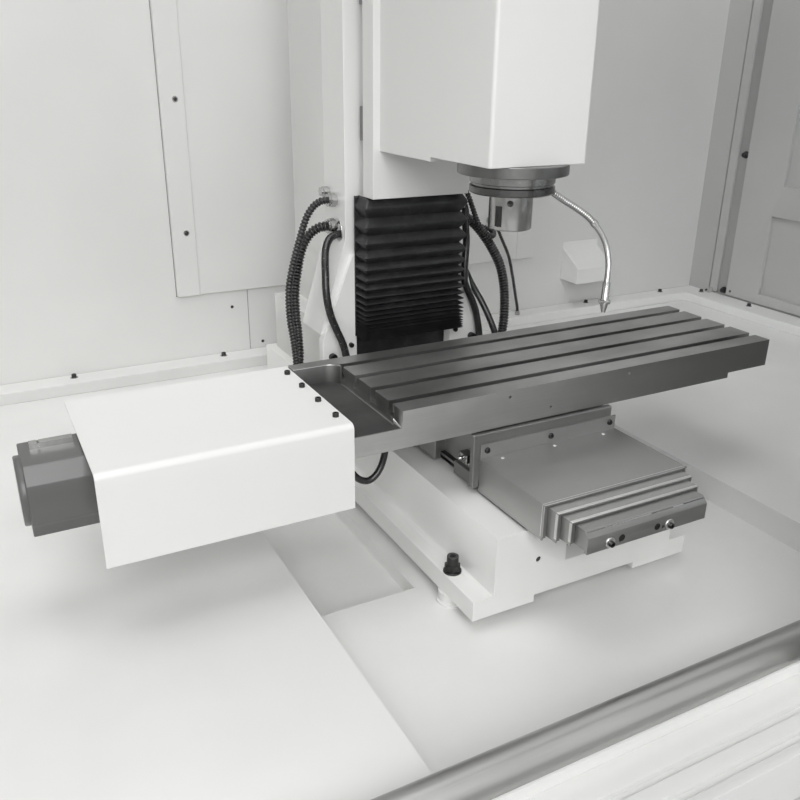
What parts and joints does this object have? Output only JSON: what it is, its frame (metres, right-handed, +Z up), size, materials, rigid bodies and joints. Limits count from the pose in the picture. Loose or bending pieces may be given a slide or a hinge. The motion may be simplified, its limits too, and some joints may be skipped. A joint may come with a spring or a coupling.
{
  "type": "cnc machining center",
  "caption": "Bed-type vertical machining center in a sheet enclosure, with T-slot table, folding bellows, way cover and sliding doors.",
  "frame": {"origin": "on the floor, under the middle of the enclosure's outer box", "axes": "+X to the operator's right, along the table; +Y to the back; +Z up"},
  "size_m": [2.942, 1.634, 2],
  "materials": {
    "white_panel": "satin",
    "light_sheet": "satin",
    "casting_paint": "gloss",
    "stand_paint": "satin",
    "ground_steel": "ground",
    "cover_steel": "brushed",
    "rail_steel": "polished",
    "bright_fitting": "polished",
    "sill_metal": "brushed",
    "dark_motor": "satin",
    "grey_metal": "machined",
    "black_rubber": "matte",
    "black_conduit": "ribbed",
    "clear_pane": "clear"
  },
  "bodies": {
    "frame": {"machine_stand": "stand_paint", "levelling_feet": "grey_metal", "chip_tray": "light_sheet", "rear_wall": "white_panel", "left_wall": "white_panel", "right_wall": "white_panel", "wall_ledge": "light_sheet", "rear_cover_panel": "white_panel", "duct_hood": "light_sheet", "front_frame": "white_panel", "sill_rail": "sill_metal", "base_casting": "casting_paint", "base_pads": "bright_fitting", "y_rails": "rail_steel", "screw_bearings": "grey_metal", "axis_motors": "dark_motor", "way_cover_end": "cover_steel", "column": "casting_paint", "z_rails": "rail_steel", "rubber_apron": "black_rubber", "hose_fittings": "bright_fitting", "bellows": "black_rubber", "conduit_upper": "black_conduit", "conduit_lower": "black_conduit", "cable_left": "black_conduit", "conduit_right": "black_conduit", "conduit_loop": "black_conduit", "conduit_wall": "black_conduit", "cable_right_a": "black_conduit", "cable_right_b": "black_conduit"},
    "service_door": {"service_door": "white_panel"},
    "outer_door": {"outer_door": "white_panel", "outer_window": "clear_pane", "outer_door_handle": "dark_motor"},
    "inner_door": {"inner_door": "white_panel", "inner_window": "clear_pane", "inner_door_handle": "dark_motor"},
    "saddle": {"saddle": "casting_paint", "saddle_carriages": "grey_metal", "lube_block": "bright_fitting", "way_cover_box": "cover_steel"},
    "cover_middle": {"way_cover_middle": "cover_steel"},
    "cover_small": {"way_cover_small": "cover_steel"},
    "table": {"table": "ground_steel", "x_rails": "rail_steel", "x_motor_bracket": "grey_metal", "x_motor_cover": "casting_paint", "x_motor": "dark_motor", "x_motor_plug": "bright_fitting", "x_motor_cable": "black_conduit"},
    "x_screw": {"x_ball_screw": "rail_steel"},
    "y_screw": {"y_ball_screw": "rail_steel"},
    "z_screw": {"z_ball_screw": "rail_steel"},
    "head": {"spindle_head": "casting_paint", "head_carriages": "grey_metal", "spindle_cartridge": "rail_steel", "spindle_motor": "dark_motor", "coolant_gooseneck": "bright_fitting"},
    "spindle": {"spindle": "rail_steel", "tool_holder": "bright_fitting"}
  },
  "joints": [
    {"name": "y_slide", "type": "slide", "parent": "frame", "child": "saddle", "axis": [0, 1, 0], "range_m": [-0.045, 0.155]},
    {"name": "x_slide", "type": "slide", "parent": "saddle", "child": "table", "axis": [1, 0, 0], "range_m": [-0.31, 0.1]},
    {"name": "z_slide", "type": "slide", "parent": "frame", "child": "head", "axis": [0, 0, 1], "range_m": [-0.045, 0.255], "deforming": ["bellows"]},
    {"name": "spindle_turn", "type": "hinge", "parent": "head", "child": "spindle", "pos_m": [0, -0.14, 1.148], "axis": [0, 0, 1], "continuous": true},
    {"name": "y_screw_turn", "type": "hinge", "parent": "frame", "child": "y_screw", "pos_m": [0, 0, 0.655], "axis": [0, 1, 0], "continuous": true},
    {"name": "x_screw_turn", "type": "hinge", "parent": "table", "child": "x_screw", "pos_m": [0, -0.152, 0.788], "axis": [1, 0, 0], "continuous": true},
    {"name": "z_screw_turn", "type": "hinge", "parent": "frame", "child": "z_screw", "pos_m": [0, 0.231, 1.3], "axis": [0, 0, 1], "continuous": true},
    {"name": "cover_middle_slide", "type": "slide", "parent": "frame", "child": "cover_middle", "axis": [0, 1, 0], "range_m": [-0.031, 0.105]},
    {"name": "cover_small_slide", "type": "slide", "parent": "frame", "child": "cover_small", "axis": [0, 1, 0], "range_m": [-0.016, 0.053]},
    {"name": "outer_door_slide", "type": "slide", "parent": "frame", "child": "outer_door", "axis": [-1, 0, 0], "range_m": [0, 1.53]},
    {"name": "inner_door_slide", "type": "slide", "parent": "frame", "child": "inner_door", "axis": [-1, 0, 0], "range_m": [0, 1.53]},
    {"name": "service_door_hinge", "type": "hinge", "parent": "frame", "child": "service_door", "pos_m": [1.461, 0.007, 1.2], "axis": [0, 0, -1], "range_deg": [0, 100]}
  ],
  "couplings": [
    {"joint": "y_screw_turn", "follows": "y_slide", "rad_per_m": 628.32},
    {"joint": "x_screw_turn", "follows": "x_slide", "rad_per_m": 628.32},
    {"joint": "z_screw_turn", "follows": "z_slide", "rad_per_m": 628.32},
    {"joint": "cover_middle_slide", "follows": "y_slide", "ratio": 0.66667},
    {"joint": "cover_small_slide", "follows": "y_slide", "ratio": 0.33333}
  ]
}
